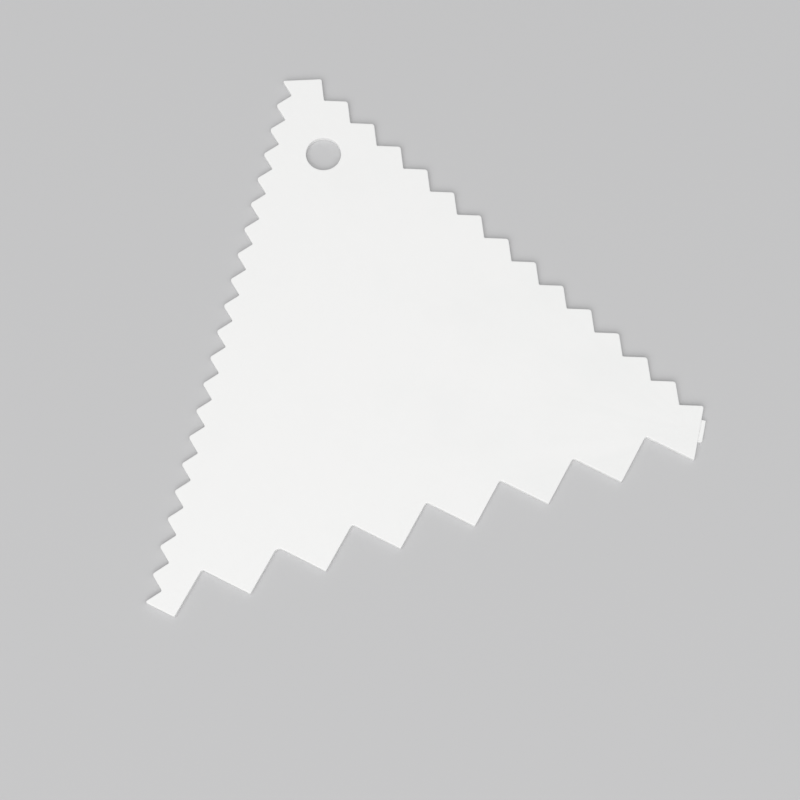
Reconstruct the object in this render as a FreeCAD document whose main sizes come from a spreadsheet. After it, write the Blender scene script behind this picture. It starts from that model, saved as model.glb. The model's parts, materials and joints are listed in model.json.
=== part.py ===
import FreeCAD, Part
import math
import os
import Sketcher
from FreeCAD import Placement, Rotation, Vector

# Sizes in millimetres. Every tooth tip touches one equilateral triangle, the tip triangle.
# The gate stub is the small tongue that is left where the plastic ran into the mould.
plate_sizes = {
    "TipTriangleSide": 110.5,
    "PlateThickness": 1.0,
    "RimBreak": 0.1,
    "HangHoleDiameter": 6.4,
    "HangHoleSetback": 21.36,
    "GateLength": 4.1,
    "GateReach": 0.86,
    "GateThickness": 0.6,
    "GateShift": 0.45,
    "GateRoot": 0.5,
    "GateEndRound": 0.4,
}

# A toothed edge starts at a corner of the tip triangle and runs clockwise, seen from above.
# FirstTip is the way from that corner to the first tip, and CornerRoom the least way left
# from the last tip to the next corner. The first and the last tip have a round of their own.
edge_sizes = {
    "Fine": {
        "FirstTip": 4.55,
        "Pitch": 5.0,
        "Depth": 2.37,
        "CornerRoom": 5.5,
        "TipRound": 0.5,
        "EndTipRound": 0.25,
        "ValleyRound": 0.3,
    },
    "Medium": {
        "FirstTip": 7.98,
        "Pitch": 6.6,
        "Depth": 2.83,
        "CornerRoom": 9.5,
        "TipRound": 0.55,
        "EndTipRound": 0.4,
        "ValleyRound": 0.2,
    },
    "Coarse": {
        "FirstTip": 10.03,
        "Pitch": 13.44,
        "Depth": 6.56,
        "CornerRoom": 5.0,
        "TipRound": 0.2,
        "EndTipRound": 0.15,
        "ValleyRound": 0.5,
    },
}

# The corner where each edge starts, and the way the edge runs from it in degrees from +X.
# The hanging hole is at the origin, and the top corner lies on the Y axis.
edge_starts = {
    "Fine": {"x": "=-TipTriangleSide / 2", "y": "=BaseLine", "turn": 60},
    "Medium": {"x": "0", "y": "=HangHoleSetback", "turn": -60},
    "Coarse": {"x": "=TipTriangleSide / 2", "y": "=BaseLine", "turn": 180},
}

# The smallest length that counts as a difference.
near = 1e-4

doc = FreeCAD.newDocument("CakeComb")
sheet = doc.addObject("Spreadsheet::Sheet", "Sizes")


def fill_sheet():
    """Write the driving sizes, then what follows from them."""
    cells = dict(plate_sizes)
    for edge, sizes in edge_sizes.items():
        for name, value in sizes.items():
            cells[edge + name] = value
    cells["BaseLine"] = "=HangHoleSetback - TipTriangleSide * sqrt(3) / 2"
    for edge, start in edge_starts.items():
        cells[edge + "StartX"] = start["x"]
        cells[edge + "StartY"] = start["y"]
        room = f"TipTriangleSide - {edge}FirstTip - {edge}CornerRoom"
        cells[edge + "Notches"] = f"=floor(({room}) / {edge}Pitch)"
        cells[edge + "LastTip"] = f"={edge}FirstTip + {edge}Notches * {edge}Pitch"
    cells["MediumRest"] = "=TipTriangleSide - MediumLastTip"
    cells["GateCut"] = "=sqrt(MediumRest^2 + CoarseFirstTip^2 - MediumRest * CoarseFirstTip)"
    cells["GateStart"] = "=(GateCut - GateLength) / 2 - GateShift"
    for row, (alias, content) in enumerate(cells.items(), start=1):
        sheet.set(f"A{row}", alias)
        sheet.set(f"B{row}", str(content))
        sheet.setAlias(f"B{row}", alias)
    doc.recompute()


def size(alias):
    """Read one value of the sheet."""
    return float(sheet.get(alias))


def edge_frame(edge):
    """An edge's own frame: X runs along its tip line and Y points out of the plate."""
    start = Vector(size(edge + "StartX"), size(edge + "StartY"), 0)
    return Placement(start, Rotation(Vector(0, 0, 1), edge_starts[edge]["turn"]))


def point_on(edge, along):
    """A point at a distance along an edge's tip line."""
    return edge_frame(edge).multVec(Vector(along, 0, 0))


def place_on(edge, point):
    """How far along an edge a point lies, and how far it lies into the plate."""
    local = edge_frame(edge).inverse().multVec(point)
    return local.x, -local.y


def flat_sketch(body, name):
    """Start a sketch on the plane of the bottom face."""
    ground = [plane for plane in body.Origin.OriginFeatures if plane.Role == "XY_Plane"]
    sketch = body.newObject("Sketcher::SketchObject", name)
    sketch.AttachmentSupport = [(ground[0], "")]
    sketch.MapMode = "FlatFace"
    return sketch


def hold(sketch, kind, *places):
    """Add a constraint that has no value."""
    sketch.addConstraint(Sketcher.Constraint(kind, *places))


def drive(sketch, name, formula, kind, *places):
    """Add a named constraint whose value follows the sheet."""
    index = sketch.addConstraint(Sketcher.Constraint(kind, *places))
    sketch.renameConstraint(index, name)
    sketch.setExpression(f"Constraints.{name}", formula)


def close_loop(sketch, lines):
    """Join the end of each line to the start of the next, and the last to the first."""
    for line, following in zip(lines, lines[1:] + lines[:1]):
        hold(sketch, "Coincident", line, 2, following, 1)


def polygon(sketch, corners, construction=False):
    """Draw a closed outline of straight lines and return the lines."""
    lines = []
    for start, end in zip(corners, corners[1:] + corners[:1]):
        lines.append(sketch.addGeometry(Part.LineSegment(start, end), construction))
    close_loop(sketch, lines)
    return lines


def draw_outline(body):
    """The tip triangle in construction lines, with its corners cut off between the end teeth."""
    sketch = flat_sketch(body, "Outline")
    tip_lines = polygon(sketch, [point_on(edge, 0) for edge in edge_sizes], True)
    fine, medium, coarse = tip_lines
    hold(sketch, "Horizontal", coarse)
    hold(sketch, "Equal", fine, medium)
    hold(sketch, "Equal", fine, coarse)
    hold(sketch, "PointOnObject", medium, 1, -2)
    drive(sketch, "Setback", "Sizes.HangHoleSetback",
          "DistanceY", -1, 1, medium, 1, size("HangHoleSetback"))
    drive(sketch, "Side", "Sizes.TipTriangleSide", "Distance", coarse, size("TipTriangleSide"))

    end_tips = []
    for edge in edge_sizes:
        end_tips.append(point_on(edge, size(edge + "FirstTip")))
        end_tips.append(point_on(edge, size(edge + "LastTip")))
    rim = polygon(sketch, end_tips)
    for edge, tip_line, toothed in zip(edge_sizes, tip_lines, rim[0::2]):
        for end, name in ((1, edge + "FirstTip"), (2, edge + "LastTip")):
            hold(sketch, "PointOnObject", toothed, end, tip_line)
            drive(sketch, name, f"Sizes.{name}", "Distance", tip_line, 1, toothed, end, size(name))
    doc.recompute()
    return sketch


def pad_plate(body, outline):
    """The flat plate before its teeth are cut, with its bottom face on the origin's plane."""
    plate = body.newObject("PartDesign::Pad", "Plate")
    plate.Profile = outline
    plate.setExpression("Length", "Sizes.PlateThickness")
    doc.recompute()
    return plate


def must_cut(before, after):
    """Stop if a cut took nothing away."""
    if after.Shape.Volume >= before.Shape.Volume - near:
        raise RuntimeError(f"{after.Name} cuts nothing")


def draw_notch(body, edge):
    """A V from an edge's first tip to its second, with a small round at the bottom."""
    sketch = flat_sketch(body, edge + "NotchProfile")
    sketch.AttachmentOffset = edge_frame(edge)
    sketch.setExpression(".AttachmentOffset.Base.x", f"Sizes.{edge}StartX")
    sketch.setExpression(".AttachmentOffset.Base.y", f"Sizes.{edge}StartY")

    first = size(edge + "FirstTip")
    pitch = size(edge + "Pitch")
    depth = size(edge + "Depth")
    radius = size(edge + "ValleyRound")
    half_angle = math.atan2(pitch / 2, depth)
    rise = Vector(math.sin(half_angle), math.cos(half_angle), 0)
    left_tip = Vector(first, 0, 0)
    right_tip = Vector(first + pitch, 0, 0)
    bottom = Vector(first + pitch / 2, -depth, 0)
    centre = bottom + Vector(0, radius / math.sin(half_angle), 0)
    right_touch = bottom + rise * (radius / math.tan(half_angle))
    left_touch = Vector(2 * bottom.x - right_touch.x, right_touch.y, 0)
    ring = Part.Circle(centre, Vector(0, 0, 1), radius)

    mouth = sketch.addGeometry(Part.LineSegment(left_tip, right_tip))
    right_flank = sketch.addGeometry(Part.LineSegment(right_tip, right_touch))
    left_flank = sketch.addGeometry(Part.LineSegment(left_touch, left_tip))
    valley = sketch.addGeometry(Part.ArcOfCircle(ring, math.pi + half_angle, 2 * math.pi - half_angle))
    sharp_bottom = sketch.addGeometry(Part.Point(bottom), True)
    hold(sketch, "Coincident", mouth, 2, right_flank, 1)
    hold(sketch, "Coincident", left_flank, 2, mouth, 1)
    hold(sketch, "Tangent", right_flank, 2, valley, 2)
    hold(sketch, "Tangent", left_flank, 1, valley, 1)
    hold(sketch, "PointOnObject", sharp_bottom, 1, right_flank)
    hold(sketch, "PointOnObject", sharp_bottom, 1, left_flank)
    hold(sketch, "PointOnObject", mouth, 1, -1)
    hold(sketch, "Horizontal", mouth)
    hold(sketch, "Equal", right_flank, left_flank)
    drive(sketch, "FirstTip", f"Sizes.{edge}FirstTip", "DistanceX", -1, 1, mouth, 1, first)
    drive(sketch, "Pitch", f"Sizes.{edge}Pitch", "DistanceX", mouth, 1, mouth, 2, pitch)
    drive(sketch, "Depth", f"Sizes.{edge}Depth", "DistanceY", sharp_bottom, 1, mouth, 1, depth)
    drive(sketch, "ValleyRound", f"Sizes.{edge}ValleyRound", "Radius", valley, radius)
    doc.recompute()
    return sketch


def cut_teeth(body, base, edge):
    """Cut one notch and repeat it along the edge. The teeth are what is left between."""
    profile = draw_notch(body, edge)
    notch = body.newObject("PartDesign::Pocket", edge + "Notch")
    notch.Profile = profile
    notch.Type = "ThroughAll"
    notch.Midplane = True
    doc.recompute()
    must_cut(base, notch)

    teeth = body.newObject("PartDesign::LinearPattern", edge + "Teeth")
    teeth.Originals = [notch]
    teeth.Direction = (profile, ["H_Axis"])
    teeth.Mode = "Spacing"
    teeth.setExpression("Offset", f"Sizes.{edge}Pitch")
    teeth.setExpression("Occurrences", f"Sizes.{edge}Notches")
    body.Tip = teeth
    doc.recompute()
    must_cut(notch, teeth)
    return teeth


def fillet_edges(body, base, name, edges, radius):
    """Round the named edges of the body as it stands."""
    if not edges:
        raise RuntimeError(f"{name} finds no edges")
    fillet = body.newObject("PartDesign::Fillet", name)
    fillet.Base = (base, edges)
    fillet.setExpression("Radius", radius)
    body.Tip = fillet
    doc.recompute()
    return fillet


def upright_edges(shape):
    """The edges square to the plate, each as its name and its foot."""
    found = []
    for number, edge in enumerate(shape.Edges, start=1):
        start = edge.Vertexes[0].Point
        end = edge.Vertexes[-1].Point
        if abs(start.z - end.z) > near and math.hypot(start.x - end.x, start.y - end.y) < near:
            found.append((f"Edge{number}", start))
    return found


def sharp_tips(shape, edge, low, high):
    """The upright edges on an edge's tip line from one distance along it to another."""
    tips = []
    for upright, foot in upright_edges(shape):
        along, inward = place_on(edge, foot)
        if abs(inward) < near and low - near < along < high + near:
            tips.append(upright)
    return tips


def round_tips(body, base, edge):
    """Round the tips of an edge, first those between its two end tips and then the end tips."""
    first = size(edge + "FirstTip")
    last = size(edge + "LastTip")
    pitch = size(edge + "Pitch")
    inner = sharp_tips(base.Shape, edge, first + pitch, last - pitch)
    rounded = fillet_edges(body, base, edge + "TipRounds", inner, f"Sizes.{edge}TipRound")
    ends = sharp_tips(rounded.Shape, edge, first, last)
    return fillet_edges(body, rounded, edge + "EndTipRounds", ends, f"Sizes.{edge}EndTipRound")


def break_rim(body, base):
    """Take the sharpness off the rim, where it meets the top and the bottom face."""
    level = []
    for number, edge in enumerate(base.Shape.Edges, start=1):
        if edge.BoundBox.ZLength < near:
            level.append(f"Edge{number}")
    breaks = body.newObject("PartDesign::Chamfer", "RimBreaks")
    breaks.Base = (base, level)
    breaks.setExpression("Size", "Sizes.RimBreak")
    body.Tip = breaks
    doc.recompute()
    return breaks


def drill_hang_hole(body, base):
    """The hanging hole, whose axis is the part's Z axis. Its rims are left crisp."""
    profile = flat_sketch(body, "HangHoleCircle")
    profile.setExpression(".AttachmentOffset.Base.z", "Sizes.PlateThickness")
    diameter = size("HangHoleDiameter")
    circle = profile.addGeometry(Part.Circle(Vector(0, 0, 0), Vector(0, 0, 1), diameter / 2))
    hold(profile, "Coincident", circle, 3, -1, 1)
    drive(profile, "Diameter", "Sizes.HangHoleDiameter", "Diameter", circle, diameter)
    doc.recompute()
    hole = body.newObject("PartDesign::Hole", "HangHole")
    hole.Profile = profile
    hole.DepthType = "ThroughAll"
    hole.setExpression("Diameter", "Sizes.HangHoleDiameter")
    body.Tip = hole
    doc.recompute()
    must_cut(base, hole)
    return hole


def gate_corners():
    """The gate stub's corners: inside the plate, out, along the corner cut and back in."""
    upper_tip = point_on("Medium", size("MediumLastTip"))
    lower_tip = point_on("Coarse", size("CoarseFirstTip"))
    run = (lower_tip - upper_tip).normalize()
    outward = Vector(-run.y, run.x, 0)
    start = upper_tip + run * size("GateStart")
    end = start + run * size("GateLength")
    root = outward * -size("GateRoot")
    reach = outward * size("GateReach")
    return [start + root, start + reach, end + reach, end + root]


def draw_gate(body, outline):
    """The gate stub, square to the corner cut between the medium and the coarse edge."""
    sketch = flat_sketch(body, "GateProfile")
    # The outline's fourth line is that corner cut, and it is this sketch's first outer line.
    sketch.addExternal(outline.Name, "Edge4")
    cut = -3
    upper, front, lower, back = polygon(sketch, gate_corners())
    hold(sketch, "Parallel", front, cut)
    hold(sketch, "Parallel", back, cut)
    hold(sketch, "Perpendicular", upper, front)
    hold(sketch, "Perpendicular", lower, front)
    drive(sketch, "Start", "Sizes.GateStart", "Distance", cut, 1, upper, size("GateStart"))
    drive(sketch, "Length", "Sizes.GateLength", "Distance", front, size("GateLength"))
    drive(sketch, "Reach", "Sizes.GateReach", "Distance", front, 1, cut, size("GateReach"))
    drive(sketch, "Root", "Sizes.GateRoot", "Distance", back, 1, cut, size("GateRoot"))
    doc.recompute()
    return sketch


def pad_gate(body, outline):
    """The gate stub, level with the bottom face, thinner than the plate and round at one end."""
    gate = body.newObject("PartDesign::Pad", "GateStub")
    gate.Profile = draw_gate(body, outline)
    gate.setExpression("Length", "Sizes.GateThickness")
    body.Tip = gate
    doc.recompute()
    round_corner = gate_corners()[2]
    chosen = []
    for upright, foot in upright_edges(gate.Shape):
        if math.hypot(foot.x - round_corner.x, foot.y - round_corner.y) < near:
            chosen.append(upright)
    return fillet_edges(body, gate, "GateRounds", chosen, "Sizes.GateEndRound")


def check_document():
    """Stop if any object failed, or if a body is not one sound solid."""
    for thing in doc.Objects:
        if "Invalid" in thing.State or "Error" in thing.State:
            raise RuntimeError(f"{thing.Name} failed: {thing.State}")
        if thing.isDerivedFrom("PartDesign::Feature") and not thing.Shape.isValid():
            raise RuntimeError(f"{thing.Name} is not sound")
    for body in bodies:
        if body.Shape.isNull() or not body.Shape.isValid() or len(body.Shape.Solids) != 1:
            raise RuntimeError(f"{body.Label} is not one sound solid")


def write_parts():
    """Write each body under its label."""
    os.makedirs("parts", exist_ok=True)
    for body in bodies:
        body.Shape.exportStep(f"parts/{body.Label}.step")
        box = body.Shape.BoundBox
        print(f"{body.Label}: {box.XLength:.2f} x {box.YLength:.2f} x {box.ZLength:.2f} mm,"
              f" {body.Shape.Volume:.1f} mm3, {len(body.Shape.Faces)} faces")


def build_comb():
    """The whole comb, one moulded piece."""
    body = doc.addObject("PartDesign::Body", "CombPlate")
    body.Label = "comb_plate"
    outline = draw_outline(body)
    feature = pad_plate(body, outline)
    for edge in edge_sizes:
        feature = cut_teeth(body, feature, edge)
    for edge in edge_sizes:
        feature = round_tips(body, feature, edge)
    feature = break_rim(body, feature)
    drill_hang_hole(body, feature)
    pad_gate(body, outline)
    return body


fill_sheet()
bodies = [build_comb()]
doc.recompute()
check_document()
write_parts()
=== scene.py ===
import json
import math

import bpy
import numpy as np
from mathutils import Matrix, Vector
from mathutils.geometry import delaunay_2d_cdt


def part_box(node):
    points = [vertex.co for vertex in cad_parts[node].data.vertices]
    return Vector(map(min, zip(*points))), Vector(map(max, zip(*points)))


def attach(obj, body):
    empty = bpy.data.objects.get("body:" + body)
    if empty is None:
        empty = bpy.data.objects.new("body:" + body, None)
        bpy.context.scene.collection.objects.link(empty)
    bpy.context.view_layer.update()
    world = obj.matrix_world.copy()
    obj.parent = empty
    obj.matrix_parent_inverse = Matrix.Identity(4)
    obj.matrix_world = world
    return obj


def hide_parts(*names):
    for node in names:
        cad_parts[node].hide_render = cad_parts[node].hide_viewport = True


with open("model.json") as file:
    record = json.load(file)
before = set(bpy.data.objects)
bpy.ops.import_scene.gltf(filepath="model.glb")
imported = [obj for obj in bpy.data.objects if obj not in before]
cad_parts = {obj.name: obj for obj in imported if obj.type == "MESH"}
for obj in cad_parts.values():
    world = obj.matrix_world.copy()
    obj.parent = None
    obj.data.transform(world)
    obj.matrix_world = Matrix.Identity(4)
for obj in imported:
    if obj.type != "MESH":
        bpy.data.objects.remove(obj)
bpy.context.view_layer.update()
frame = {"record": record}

plateLow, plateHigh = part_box("comb_plate")
metresPerMm = 0.001
print("frame loaded, plate", [round(v, 5) for v in plateHigh - plateLow])

# The comb's sizes in millimetres. Its hanging hole's axis is the origin, the top corner of the
# triangle that all the tips touch is straight above it, and the wide teeth run along the bottom.
comb = {
    "side": 110.5,                    # of that triangle
    "topCorner": 21.36,               # from the hole's axis to the triangle's top corner
    "rimRound": 0.1,                  # where the wall meets the top and the bottom face
    "holeRound": 0.05,                # the same at the hole
    "arcSteps": 8,                    # round a tip or a valley
    "rimSteps": 4,                    # round a rim, from face to wall
    "holeSteps": 128,
    "latticePitch": 3.0,              # between the points that fill the flat faces
    "latticeGap": 1.3,                # from the valleys and the hole to the first of them
    "weldReach": 1e-7,                # points of a flat face nearer than this are one point

    # Each edge runs clockwise, seen from above, from a corner of the triangle: a heading in degrees,
    # the way to its first tip, then notches of one pitch and depth, with tips, valleys and the edge's
    # two end tips rounded. ownRounds holds any notch whose valley differs: the wide edge's last but
    # one is blunter on the real comb.
    "edges": {
        "fine": {"heading": 60, "firstTip": 4.55, "pitch": 5.0, "notches": 20, "depth": 2.37,
                 "tipRound": 0.5, "valleyRound": 0.3, "endRound": 0.25, "ownRounds": {}},
        "medium": {"heading": -60, "firstTip": 7.98, "pitch": 6.6, "notches": 14, "depth": 2.83,
                   "tipRound": 0.55, "valleyRound": 0.2, "endRound": 0.4, "ownRounds": {}},
        "coarse": {"heading": 180, "firstTip": 10.03, "pitch": 13.44, "notches": 7, "depth": 6.56,
                   "tipRound": 0.2, "valleyRound": 0.5, "endRound": 0.15, "ownRounds": {6: 1.05}},
    },

    # The stub left on the cut corner where the plastic ran in, snapped off and a little torn.
    "gate": {
        "length": 4.1,
        "reach": 0.86,                # out from the cut
        "height": 0.6,                # up from the bottom face
        "shift": 0.45,                # from the middle of the cut towards the medium edge
        "startRound": 0.08,           # its two outer corners, seen from above
        "endRound": 0.4,
        "rootRound": 0.06,            # where its top meets the plate's wall
        "edgeRound": 0.05,            # where its top meets its torn face
        "slant": 0.03,                # of its two ends
        "faceRows": 5,
        "runSteps": 40,
        "tear": 0.07,                 # depth of the torn face
        "tearPower": 4,               # the higher, the nearer to the torn face its waves stay
        "tearWaves": (                # radians a millimetre along and up, and where each starts
            (5.1, 7.3, 0),
            (11.7, -9.1, 1.3),
            (23.9, 0, 2.1),
        ),
    },
}
edges = comb["edges"]
gate = comb["gate"]

plateThickness = (plateHigh.z - plateLow.z) / metresPerMm
hangHole = [m for m in frame["record"]["mounts"] if m["name"] == "hang_hole"][0]
holeRadius = hangHole["dims"]["r_mm"]


def headingVector(angle):
    # Unit vectors that point along angles in radians.
    return np.stack([np.cos(angle), np.sin(angle)], axis=-1)


def leftOf(angle):
    # Unit vectors a quarter turn to the left of angles. On a clockwise outline they point outwards.
    return np.stack([-np.sin(angle), np.cos(angle)], axis=-1)


def edgeStarts():
    # The triangle's corners: from the lower left one, each next is one side further on along that
    # edge's heading.
    base = comb["topCorner"] - comb["side"] * math.sqrt(3) / 2
    headings = np.radians([sizes["heading"] for sizes in edges.values()])
    steps = comb["side"] * headingVector(headings)
    return np.array([-comb["side"] / 2, base]) + np.cumsum(steps, axis=0) - steps


def sawCorners(start, sizes):
    # Sharp tips and valleys by turns, half a pitch apart, with the valleys in from the tip line by
    # the depth, and the radius that rounds each of them.
    heading = math.radians(sizes["heading"])
    number = np.arange(2 * sizes["notches"] + 1)
    isValley = number % 2
    along = sizes["firstTip"] + sizes["pitch"] / 2 * number
    corners = start + along[:, None] * headingVector(heading)
    corners -= (sizes["depth"] * isValley)[:, None] * leftOf(heading)
    radii = np.where(isValley, sizes["valleyRound"], sizes["tipRound"])
    radii[[0, -1]] = sizes["endRound"]
    for notch, radius in sizes["ownRounds"].items():
        radii[2 * notch - 1] = radius
    return corners, radii


def roundedPath(corners, radii, steps):
    # A grid of corner by share of its turn: centre + signed radius * left normal, the centre being
    # set so that the arc touches the straight runs on both sides of the corner.
    ahead = np.roll(corners, -1, axis=0) - corners
    leaving = np.arctan2(ahead[:, 1], ahead[:, 0])
    arriving = np.roll(leaving, 1)
    turn = (leaving - arriving + math.pi) % (2 * math.pi) - math.pi
    bend = -np.sign(turn) * radii
    touch = corners - (radii * np.tan(np.abs(turn) / 2))[:, None] * headingVector(arriving)
    centre = touch - bend[:, None] * leftOf(arriving)
    angle = arriving[:, None] + turn[:, None] * np.linspace(0, 1, steps + 1)
    normals = leftOf(angle)
    points = centre[:, None] + bend[:, None, None] * normals
    return points.reshape(-1, 2), normals.reshape(-1, 2)


def gateCut():
    # The straight cut from the medium edge's last tip to the coarse edge's first: where it starts,
    # the way it runs, the way out of the plate and its length.
    starts = edgeStarts()
    origin = sawCorners(starts[1], edges["medium"])[0][-1]
    run = sawCorners(starts[2], edges["coarse"])[0][0] - origin
    length = np.hypot(*run)
    run = run / length
    return origin, run, np.array([-run[1], run[0]]), length


def gateStations(cutLength):
    # The stub seen from above: a slanted end, a small quarter circle, the straight face, a larger
    # quarter circle and the other slanted end. Each station is a way along the cut, a reach out from
    # it and the swing of its normal, from 0 straight out to a quarter turn along the cut.
    start = (cutLength - gate["length"]) / 2 - gate["shift"]
    end = start + gate["length"]
    quarter = np.linspace(0, math.pi / 2, comb["arcSteps"] + 1)
    near, far = gate["startRound"], gate["endRound"]
    face = np.linspace(start + near, end - far, gate["runSteps"])[1:-1]
    along = np.concatenate([
        [start - gate["slant"]],
        start + near * (1 - np.cos(quarter)),
        face,
        end - far + far * np.sin(quarter),
        [end + gate["slant"]],
    ])
    reach = np.concatenate([
        [0],
        gate["reach"] - near * (1 - np.sin(quarter)),
        np.full(len(face), gate["reach"]),
        gate["reach"] - far * (1 - np.cos(quarter)),
        [0],
    ])
    swing = np.concatenate([[0], quarter - math.pi / 2, np.zeros(len(face)), quarter, [0]])
    return along, reach, swing


def combOutline():
    # The three saw lines one after another, rounded, with the stub's stations put in on the straight
    # cut between the medium and the coarse edge.
    saws = [sawCorners(start, sizes) for start, sizes in zip(edgeStarts(), edges.values())]
    corners = np.concatenate([saw[0] for saw in saws])
    radii = np.concatenate([saw[1] for saw in saws])
    points, normals = roundedPath(corners, radii, comb["arcSteps"])
    plain = np.zeros(len(points))

    lastMedium = len(saws[0][0]) + len(saws[1][0]) - 1
    place = (lastMedium + 1) * (comb["arcSteps"] + 1)
    origin, run, outward, cutLength = gateCut()
    along, reach, swing = gateStations(cutLength)
    points = np.insert(points, place, origin + along[:, None] * run, axis=0)
    normals = np.insert(normals, place, np.tile(outward, (len(along), 1)), axis=0)
    return points, normals, *(np.insert(plain, place, values) for values in (along, reach, swing))


def tornNoise(along, up):
    # Between 0 and 1: a half, and half the mean of crossed sine waves of unlike length.
    waves = [np.sin(run * along + climb * up + start) for run, climb, start in gate["tearWaves"]]
    return 0.5 + sum(waves) / (2 * len(waves))


def rimProfile(along, reach):
    # Rows from the top face down the wall to the bottom face, each a way out, a height and the lean
    # of its normal, from a quarter turn at the top face to a quarter turn down at the bottom. On the
    # plain rim that is a quarter round, the wall and a quarter round. Where reach is over nought the
    # wall stops at the stub's top, which runs out to the torn face. That face lies in from its reach
    # by the tear * noise * (share of the reach raised to a power).
    quarter = np.linspace(0, math.pi / 2, comb["rimSteps"] + 1)
    rim, root, edge = comb["rimRound"], gate["rootRound"], gate["edgeRound"]
    reachOut = reach[:, None]
    isStub = reachOut > 0
    everywhere = np.zeros_like(reachOut)          # spreads one row of values over the whole path
    plain = np.zeros(gate["faceRows"])
    faceUp = np.linspace(gate["height"] - edge, rim, gate["faceRows"] + 2)[1:-1]

    stubOut = np.hstack([
        everywhere + root * (1 - np.cos(quarter)),
        reachOut - edge * (1 - np.sin(quarter)),
        reachOut + plain,
    ])
    stubUp = np.concatenate([
        gate["height"] + root * (1 - np.sin(quarter)),
        gate["height"] - edge * (1 - np.cos(quarter)),
        faceUp,
    ])
    stubLean = np.concatenate([quarter, math.pi / 2 - quarter, plain])
    wallUp = np.linspace(gate["height"] + root, rim, len(stubUp) + 1)[:-1]

    out = np.hstack([
        everywhere + rim * (np.sin(quarter) - 1),
        np.where(isStub, stubOut, 0),
        reachOut - rim * (1 - np.cos(quarter)),
    ])
    up = np.hstack([
        everywhere + plateThickness - rim * (1 - np.cos(quarter)),
        np.where(isStub, stubUp, wallUp),
        everywhere + rim * (1 - np.sin(quarter)),
    ])
    lean = np.hstack([
        everywhere + math.pi / 2 - quarter,
        np.where(isStub, stubLean, 0),
        everywhere - quarter,
    ])
    share = np.clip(out / gate["reach"], 0, 1) ** gate["tearPower"]
    return out - gate["tear"] * share * tornNoise(along[:, None], up), up, lean


def holePath():
    # A circle walked anticlockwise, so that its left normals point to the axis, out of the plastic.
    angle = np.linspace(0, 2 * math.pi, comb["holeSteps"], endpoint=False)
    return holeRadius * headingVector(angle), leftOf(angle + math.pi / 2)


def holeProfile():
    # A quarter round, the wall and a quarter round, the same all the way round.
    quarter = np.linspace(0, math.pi / 2, comb["rimSteps"] + 1)
    edge = comb["holeRound"]
    rows = [
        np.concatenate([edge * (np.sin(quarter) - 1), edge * (np.cos(quarter) - 1)]),
        np.concatenate([plateThickness - edge * (1 - np.cos(quarter)), edge * (1 - np.sin(quarter))]),
        np.concatenate([math.pi / 2 - quarter, -quarter]),
    ]
    return [np.tile(row, (comb["holeSteps"], 1)) for row in rows]


def carry(points, normals, swing, out, up, lean):
    # A profile carried along a closed path: point + way out * normal, at its height. The surface's
    # normal is the path's, swung along the path by one angle and leaned up from it by the other.
    # Returns two grids of path place by profile row.
    flat = points[:, None] + out[:, :, None] * normals[:, None]
    ahead = np.stack([normals[:, 1], -normals[:, 0]], axis=-1)
    turned = np.cos(swing)[..., None] * normals[:, None] + np.sin(swing)[..., None] * ahead[:, None]
    facing = np.concatenate([np.cos(lean)[..., None] * turned, np.sin(lean)[..., None]], axis=-1)
    return np.concatenate([flat, up[..., None]], axis=-1), facing


def combRim():
    # The rim's profile carried along the outline, and which of its faces stay as flat as they are:
    # the torn face, where the normal doesn't lean, and the stub's two ends, where the reach goes
    # from nought to more. Below its top the stub's normals swing round its corners.
    points, normals, along, reach, swing = combOutline()
    out, up, lean = rimProfile(along, reach)
    lowest = np.arange(out.shape[1]) >= out.shape[1] - comb["rimSteps"]
    onStub = (out > gate["reach"] / 2) | lowest & (reach > 0)[:, None]
    rim, facing = carry(points, normals, swing[:, None] * onStub, out, up, lean)
    torn = onStub[:, :-1] & (lean[:, :-1] == 0) & (lean[:, 1:] == 0)
    isEnd = (reach > 0) != (np.roll(reach, -1) > 0)
    return rim, facing, (torn | isEnd[:, None]).ravel()


def holeWall():
    # The hole's profile carried round its circle.
    points, normals = holePath()
    return carry(points, normals, np.zeros((comb["holeSteps"], 1)), *holeProfile())


def gridQuads(columns, rows, first):
    # Four-cornered faces of a grid that is closed along its columns, wound to face outwards.
    here = first + np.arange(columns)[:, None] * rows + np.arange(rows - 1)
    ahead = np.roll(here, -1, axis=0)
    return np.stack([here, ahead, ahead + 1, here + 1], axis=-1).reshape(-1, 4)


def faceLattice():
    # Points of a triangular lattice that lie clear of the teeth and of the hole.
    pitch = comb["latticePitch"]
    reach = int(comb["side"] / pitch) + 2
    row, column = np.mgrid[-reach:reach + 1, -reach:reach + 1]
    across = (column + (row % 2) / 2) * pitch
    points = np.stack([across, row * pitch * math.sqrt(3) / 2], axis=-1).reshape(-1, 2)
    clear = np.hypot(*points.T) > holeRadius + comb["latticeGap"]
    for start, sizes in zip(edgeStarts(), edges.values()):
        inward = (start - points) @ leftOf(math.radians(sizes["heading"]))
        clear &= inward > sizes["depth"] + comb["latticeGap"]
    return points[clear]


def fillFace(outer, hole, lattice):
    # Triangles between an outer loop and the hole's loop, through the lattice, anticlockwise from
    # above. Each corner is its place in outer, then hole, then lattice. A triangle whose corners are
    # all on the hole's loop lies in the hole, and is left out.
    points = np.concatenate([outer, hole, lattice])
    outerRing = list(range(len(outer)))[::-1]
    holeRing = list(range(len(outer), len(outer) + len(hole)))
    vectors = [Vector(point) for point in points.tolist()]
    insideOnly = 1
    filled = delaunay_2d_cdt(vectors, [], [outerRing, holeRing], insideOnly, comb["weldReach"])
    source = np.array([ids[0] for ids in filled[3]])
    triangles = source[np.array(filled[2])]
    onHole = (triangles >= len(outer)) & (triangles < len(outer) + len(hole))
    return triangles[~onHole.all(axis=1)]


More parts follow.
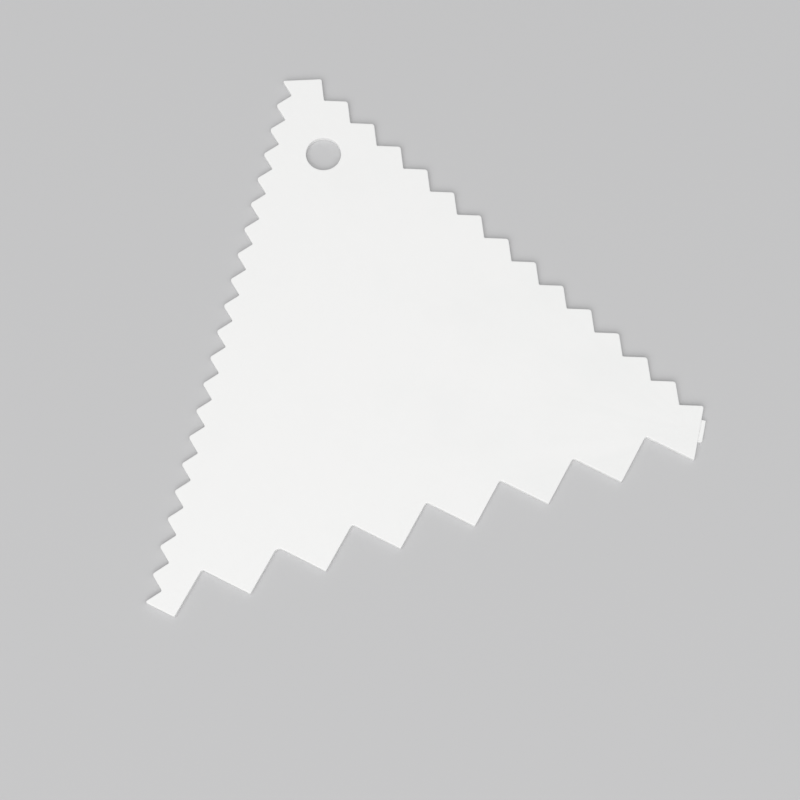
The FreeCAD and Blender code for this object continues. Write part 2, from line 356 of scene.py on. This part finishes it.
def combFaces(rim, wall, lattice):
    # Quads of the rim and of the hole's wall, then triangles of the top and of the bottom face, sewn
    # to the first and to the last row of both grids.
    rimColumns, rimRows = rim.shape[:2]
    wallColumns, wallRows = wall.shape[:2]
    wallFirst = rimColumns * rimRows
    latticeFirst = wallFirst + wallColumns * wallRows
    quads = np.concatenate([
        gridQuads(rimColumns, rimRows, 0),
        gridQuads(wallColumns, wallRows, wallFirst),
    ])
    triangles = []
    for face, (row, order) in enumerate(((0, [0, 1, 2]), (-1, [0, 2, 1]))):
        numbers = np.concatenate([
            np.arange(rimColumns) * rimRows + row % rimRows,
            wallFirst + np.arange(wallColumns) * wallRows + row % wallRows,
            latticeFirst + len(lattice) * face + np.arange(len(lattice)),
        ])
        filled = fillFace(rim[:, row, :2], wall[:, row, :2], lattice)
        triangles.append(numbers[filled][:, order])
    return quads, np.concatenate(triangles)


def setFacing(mesh, facing, keepsFlat):
    # Each corner of a quad takes the surface's own normal. The quads that keep flat and all the
    # triangles take their face's normal.
    faceNormals = np.empty(len(mesh.polygons) * 3)
    mesh.polygons.foreach_get("normal", faceNormals)
    quadNormals, flatNormals = np.split(faceNormals.reshape(-1, 3), [len(facing)])
    flat = np.flatnonzero(keepsFlat)
    facing[flat] = quadNormals[flat][:, None]
    corners = [facing.reshape(-1, 3), np.repeat(flatNormals, 3, axis=0)]
    mesh.normals_split_custom_set(np.concatenate(corners).tolist())


def combMesh():
    # The rim, the hole's wall and the two flat faces between them, sewn on the same points.
    rim, rimFacing, keepsFlat = combRim()
    wall, wallFacing = holeWall()
    lattice = faceLattice()
    quads, triangles = combFaces(rim, wall, lattice)
    levels = [np.insert(lattice, 2, height, axis=1) for height in (plateThickness, 0)]
    vertices = np.concatenate([rim.reshape(-1, 3), wall.reshape(-1, 3), *levels]) * metresPerMm
    vertices[:, 2] += plateLow.z
    mesh = bpy.data.meshes.new("combPlate")
    mesh.from_pydata(vertices.tolist(), [], quads.tolist() + triangles.tolist(), shade_flat=False)
    facing = np.concatenate([rimFacing.reshape(-1, 3), wallFacing.reshape(-1, 3)])
    setFacing(mesh, facing[quads], keepsFlat)
    return mesh


def makeComb():
    # The comb's one piece, its mesh with the plastic on it.
    mesh = combMesh()
    mesh.materials.append(whitePlastic())
    piece = bpy.data.objects.new("combPlate", mesh)
    bpy.context.scene.collection.objects.link(piece)
    print("comb plate:", len(mesh.vertices), "points,", len(mesh.polygons), "faces")
    return piece


class Wire:
    # One socket's value in a shader, so that sums of wires and numbers are written as plain maths.
    def __init__(self, graph, socket):
        self.graph = graph
        self.socket = socket

    def combine(self, operation, first, second):
        kind = "ShaderNodeVectorMath" if self.socket.type == "VECTOR" else "ShaderNodeMath"
        return self.graph.node(kind, {"operation": operation}, {0: first, 1: second})

    def __add__(self, other):
        return self.combine("ADD", self, other)

    def __radd__(self, other):
        return self.combine("ADD", other, self)

    def __sub__(self, other):
        return self.combine("SUBTRACT", self, other)

    def __rsub__(self, other):
        return self.combine("SUBTRACT", other, self)

    def __mul__(self, other):
        return self.combine("MULTIPLY", self, other)

    def __rmul__(self, other):
        return self.combine("MULTIPLY", other, self)

    def __abs__(self):
        return self.graph.node("ShaderNodeMath", {"operation": "ABSOLUTE"}, {0: self})


class Graph:
    # A node tree that starts empty. Every node comes from the one method below: its type, its
    # settings, which are set first, then its sockets' values or wires, and the output it hands back.
    def __init__(self, owner):
        owner.use_nodes = True
        self.tree = owner.node_tree
        self.tree.nodes.clear()

    def node(self, kind, settings=None, values=None, output=0):
        made = self.tree.nodes.new(kind)
        for name, setting in (settings or {}).items():
            setattr(made, name, setting)
        for name, value in (values or {}).items():
            socket = made.inputs[name]
            if isinstance(value, Wire):
                self.tree.links.new(value.socket, socket)
            elif socket.type == "VECTOR" and np.isscalar(value):
                socket.default_value = (value,) * 3
            else:
                socket.default_value = value
        return Wire(self, made.outputs[output]) if made.outputs else None


# White moulded plastic, even and satin. Lengths are in millimetres, and a pair of values is where
# something starts and where it is full.
plastic = {
    "white": (0.9, 0.9, 0.893, 1),
    "deepWhite": (0.875, 0.878, 0.871, 1),   # in soft clouds and streaks of the flow
    "cloudShare": 0.7,
    "streakShare": 0.5,
    "deepRange": (0.3, 0.75),                # of the two shares' sum
    "glassiness": 1.49,                      # index of refraction
    "scatter": 0.15,                         # share of light that spreads inside
    "scatterReach": 0.6,
    "roughness": 0.4,
    "cloudRoughness": 0.06,                  # from the clearest to the deepest cloud
    "streakRoughness": 0.05,                 # what the others add where they are full
    "scratchRoughness": 0.1,
    "tornRoughness": 0.2,
    "grainSize": 0.22,
    "grainHeight": 0.0035,
    "cloudSize": 14,
    "swellHeight": 0.02,                     # of the face's long slow waves
    "streakWidth": 0.11,                     # radians, seen from the gate
    "streakFade": (5, 70),                   # from the gate
    "tornEdge": (0.2, 0.05),                 # in from the stub's reach
    "tornHeight": 0.04,
    "scratchAngles": (17, 74, -38),          # degrees
    "scratchWidth": 0.12,
    "scratchLength": 9,
    "scratchDepth": 0.003,
    "scratchBand": 0.02,                     # of the noise round its middle value, that is a line
    "scratchLump": 6,                        # a lump of that noise, in widths of a line
    "scratchPatch": 6,                       # size of the places where they show
    "scratchRange": (0.56, 0.68),            # of the noise that picks those places
}


def rising(graph, value, low, high):
    # 0 up to low, 1 from high, and a smooth step between.
    return graph.node("ShaderNodeMapRange", {"interpolation_type": "SMOOTHSTEP"},
                      {"Value": value, "From Min": low, "From Max": high})


def noise(graph, place, size, detail=2.0):
    # Soft noise between 0 and 1 whose lumps are about a size in millimetres.
    return graph.node("ShaderNodeTexNoise", None, {"Vector": place, "Scale": 1 / size, "Detail": detail})


def scratches(graph, place, angle):
    # Hair lines along an angle: noise stretched along it, kept where it crosses its middle value, and
    # only here and there.
    lumpWidth = plastic["scratchLump"] * plastic["scratchWidth"]
    turned = graph.node("ShaderNodeMapping", None, {
        "Vector": place,
        "Rotation": (0, 0, math.radians(angle)),
        "Scale": (1 / plastic["scratchLength"], 1 / lumpWidth, 1),
    })
    offMiddle = abs(noise(graph, turned, 1, 1.0) - 0.5)
    line = 1 - rising(graph, offMiddle, 0, plastic["scratchBand"])
    patches = noise(graph, place + (angle, 0, 0), plastic["scratchPatch"])
    return line * rising(graph, patches, *plastic["scratchRange"])


def whitePlastic():
    # Soft clouds, streaks that fan out from the gate, fine grain, a few hair scratches and the gate's
    # torn face, which is rougher. Colour, roughness and height are weighted sums of these.
    material = bpy.data.materials.new("whitePlastic")
    graph = Graph(material)
    place = graph.node("ShaderNodeTexCoord", output="Object") * (1 / metresPerMm)

    origin, run, outward, cutLength = gateCut()
    fromGate = place - (*(origin + run * cutLength / 2), 0)
    way = graph.node("ShaderNodeVectorMath", {"operation": "NORMALIZE"}, {0: fromGate})
    distance = graph.node("ShaderNodeVectorMath", {"operation": "LENGTH"}, {0: fromGate}, "Value")
    out = graph.node("ShaderNodeVectorMath", {"operation": "DOT_PRODUCT"},
                     {0: fromGate, 1: (*outward, 0)}, "Value")

    clouds = noise(graph, place, plastic["cloudSize"], 3.0)
    nearGate = 1 - rising(graph, distance, *plastic["streakFade"])
    streaks = noise(graph, way, plastic["streakWidth"], 3.0) * nearGate
    torn = rising(graph, out, *(gate["reach"] - inward for inward in plastic["tornEdge"]))
    hairs = sum(scratches(graph, place, angle) for angle in plastic["scratchAngles"])
    grain = noise(graph, place, plastic["grainSize"])
    tornGrain = noise(graph, place, 2 * plastic["grainSize"], 4.0) * torn

    depth = clouds * plastic["cloudShare"] + streaks * plastic["streakShare"]
    colour = graph.node("ShaderNodeMix", {"data_type": "RGBA"}, {
        "Factor": rising(graph, depth, *plastic["deepRange"]),
        6: plastic["white"],                 # the mixed colours' sockets
        7: plastic["deepWhite"],
    }, 2)
    roughness = (plastic["roughness"] + (clouds - 0.5) * plastic["cloudRoughness"]
                 + streaks * plastic["streakRoughness"] + hairs * plastic["scratchRoughness"]
                 + torn * plastic["tornRoughness"])
    height = (grain * plastic["grainHeight"] + clouds * plastic["swellHeight"]
              + tornGrain * plastic["tornHeight"] - hairs * plastic["scratchDepth"])
    bump = graph.node("ShaderNodeBump", None, {"Height": height, "Distance": metresPerMm, "Strength": 1.0})
    shader = graph.node("ShaderNodeBsdfPrincipled", {"subsurface_method": "RANDOM_WALK"}, {
        "Base Color": colour,
        "Roughness": roughness,
        "Normal": bump,
        "IOR": plastic["glassiness"],
        "Subsurface Weight": plastic["scatter"],
        "Subsurface Radius": (1, 1, 1),
        "Subsurface Scale": plastic["scatterReach"] * metresPerMm,
    })
    graph.node("ShaderNodeOutputMaterial", None, {"Surface": shader})
    return material


combPlate = makeComb()
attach(combPlate, "root")
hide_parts("comb_plate")

# A plain pale table top, a hair below the plate, and the same tone where the table ends.
table = {
    "halfWidth": 4.0,                 # metres
    "drop": 0.00002,
    "colour": (0.56, 0.56, 0.565, 1),
    "roughness": 0.8,
    "shine": 0.2,
    "beyond": (0.6, 0.6, 0.605, 1),
}


def makeTable():
    # A level square with its middle under the origin, in one even tone.
    half, level = table["halfWidth"], plateLow.z - table["drop"]
    corners = [(-half, -half, level), (half, -half, level), (half, half, level), (-half, half, level)]
    mesh = bpy.data.meshes.new("tableTop")
    mesh.from_pydata(corners, [], [(0, 1, 2, 3)])
    material = bpy.data.materials.new("paleTable")
    graph = Graph(material)
    shader = graph.node("ShaderNodeBsdfPrincipled", None, {
        "Base Color": table["colour"],
        "Roughness": table["roughness"],
        "Specular IOR Level": table["shine"],
    })
    graph.node("ShaderNodeOutputMaterial", None, {"Surface": shader})
    mesh.materials.append(material)
    top = bpy.data.objects.new("tableTop", mesh)
    bpy.context.scene.collection.objects.link(top)


makeTable()
print("table made")

# Soft daylight from all round, with two soft boxes. Angles are in degrees, lengths in metres.
light = {
    "sky": 0.4,                       # a white thing under the sky alone renders at this level
    "boxes": {
        "keyBox": {"azimuth": -38, "elevation": 55, "distance": 2.2, "width": 2.6, "watts": 44.0},
        "fillBox": {"azimuth": 60, "elevation": 50, "distance": 2.2, "width": 1.6, "watts": 5.4},
    },
}
plateMiddle = (plateLow + plateHigh) / 2


def standpoint(azimuth, elevation):
    # A unit vector out to where a lamp or a camera stands. Azimuth 0 is in front, on the coarse edge's
    # side, and grows anticlockwise seen from above.
    turn, rise = math.radians(azimuth), math.radians(elevation)
    return Vector((math.sin(turn) * math.cos(rise), -math.cos(turn) * math.cos(rise), math.sin(rise)))


def lightScene():
    # Camera, glossy and transmission rays meet the backdrop's tone, and all others the sky. A box is
    # plate's middle + distance * the way out to its standpoint, and faces back along that way.
    world = bpy.data.worlds.new("softSky")
    bpy.context.scene.world = world
    graph = Graph(world)
    seen = graph.node("ShaderNodeLightPath", output="Is Camera Ray")
    for ray in ("Is Glossy Ray", "Is Transmission Ray"):
        other = graph.node("ShaderNodeLightPath", output=ray)
        seen = graph.node("ShaderNodeMath", {"operation": "MAXIMUM"}, {0: seen, 1: other})
    sky = graph.node("ShaderNodeBackground", None, {"Color": (1, 1, 1, 1), "Strength": light["sky"]})
    beyond = graph.node("ShaderNodeBackground", None, {"Color": table["beyond"], "Strength": 1.0})
    mixed = graph.node("ShaderNodeMixShader", None, {0: seen, 1: sky, 2: beyond})
    graph.node("ShaderNodeOutputWorld", None, {"Surface": mixed})

    for name, box in light["boxes"].items():
        lamp = bpy.data.lights.new(name, "AREA")
        lamp.shape = "SQUARE"
        lamp.size = box["width"]
        lamp.energy = box["watts"]
        thing = bpy.data.objects.new(name, lamp)
        bpy.context.scene.collection.objects.link(thing)
        away = standpoint(box["azimuth"], box["elevation"])
        thing.location = plateMiddle + away * box["distance"]
        thing.rotation_euler = away.to_track_quat("Z", "Y").to_euler()


lightScene()
print("lights made")

# The photograph's viewpoint, in metres and degrees.
view = {
    "azimuth": -21.02,
    "elevation": 72.92,
    "roll": 3.79,
    "distance": 0.3637,
    "lens": 92.88,                    # millimetres, and the sensor's width too
    "sensor": 36,
    "nearest": 0.01,                  # what the camera sees begins and ends here
    "furthest": 20,
    "aim": (-0.000576, -0.048576, 0),
}


def placeCamera():
    # The camera is aim + distance * the way out to its standpoint. It looks back along that way, with
    # its level and upright directions turned round it by the roll.
    camera = bpy.data.cameras.new("camera")
    camera.lens = view["lens"]
    camera.sensor_width = view["sensor"]
    camera.clip_start = view["nearest"]
    camera.clip_end = view["furthest"]
    back = standpoint(view["azimuth"], view["elevation"])
    turn, roll = math.radians(view["azimuth"]), math.radians(view["roll"])
    level = Vector((math.cos(turn), math.sin(turn), 0))
    upright = back.cross(level)
    across = level * math.cos(roll) + upright * math.sin(roll)
    up = upright * math.cos(roll) - level * math.sin(roll)
    thing = bpy.data.objects.new("camera", camera)
    bpy.context.scene.collection.objects.link(thing)
    thing.matrix_world = Matrix.LocRotScale(
        Vector(view["aim"]) + back * view["distance"], Matrix((across, up, back)).transposed(), None)
    bpy.context.scene.camera = thing


placeCamera()
bpy.context.scene.view_settings.view_transform = "Standard"
print("camera placed")
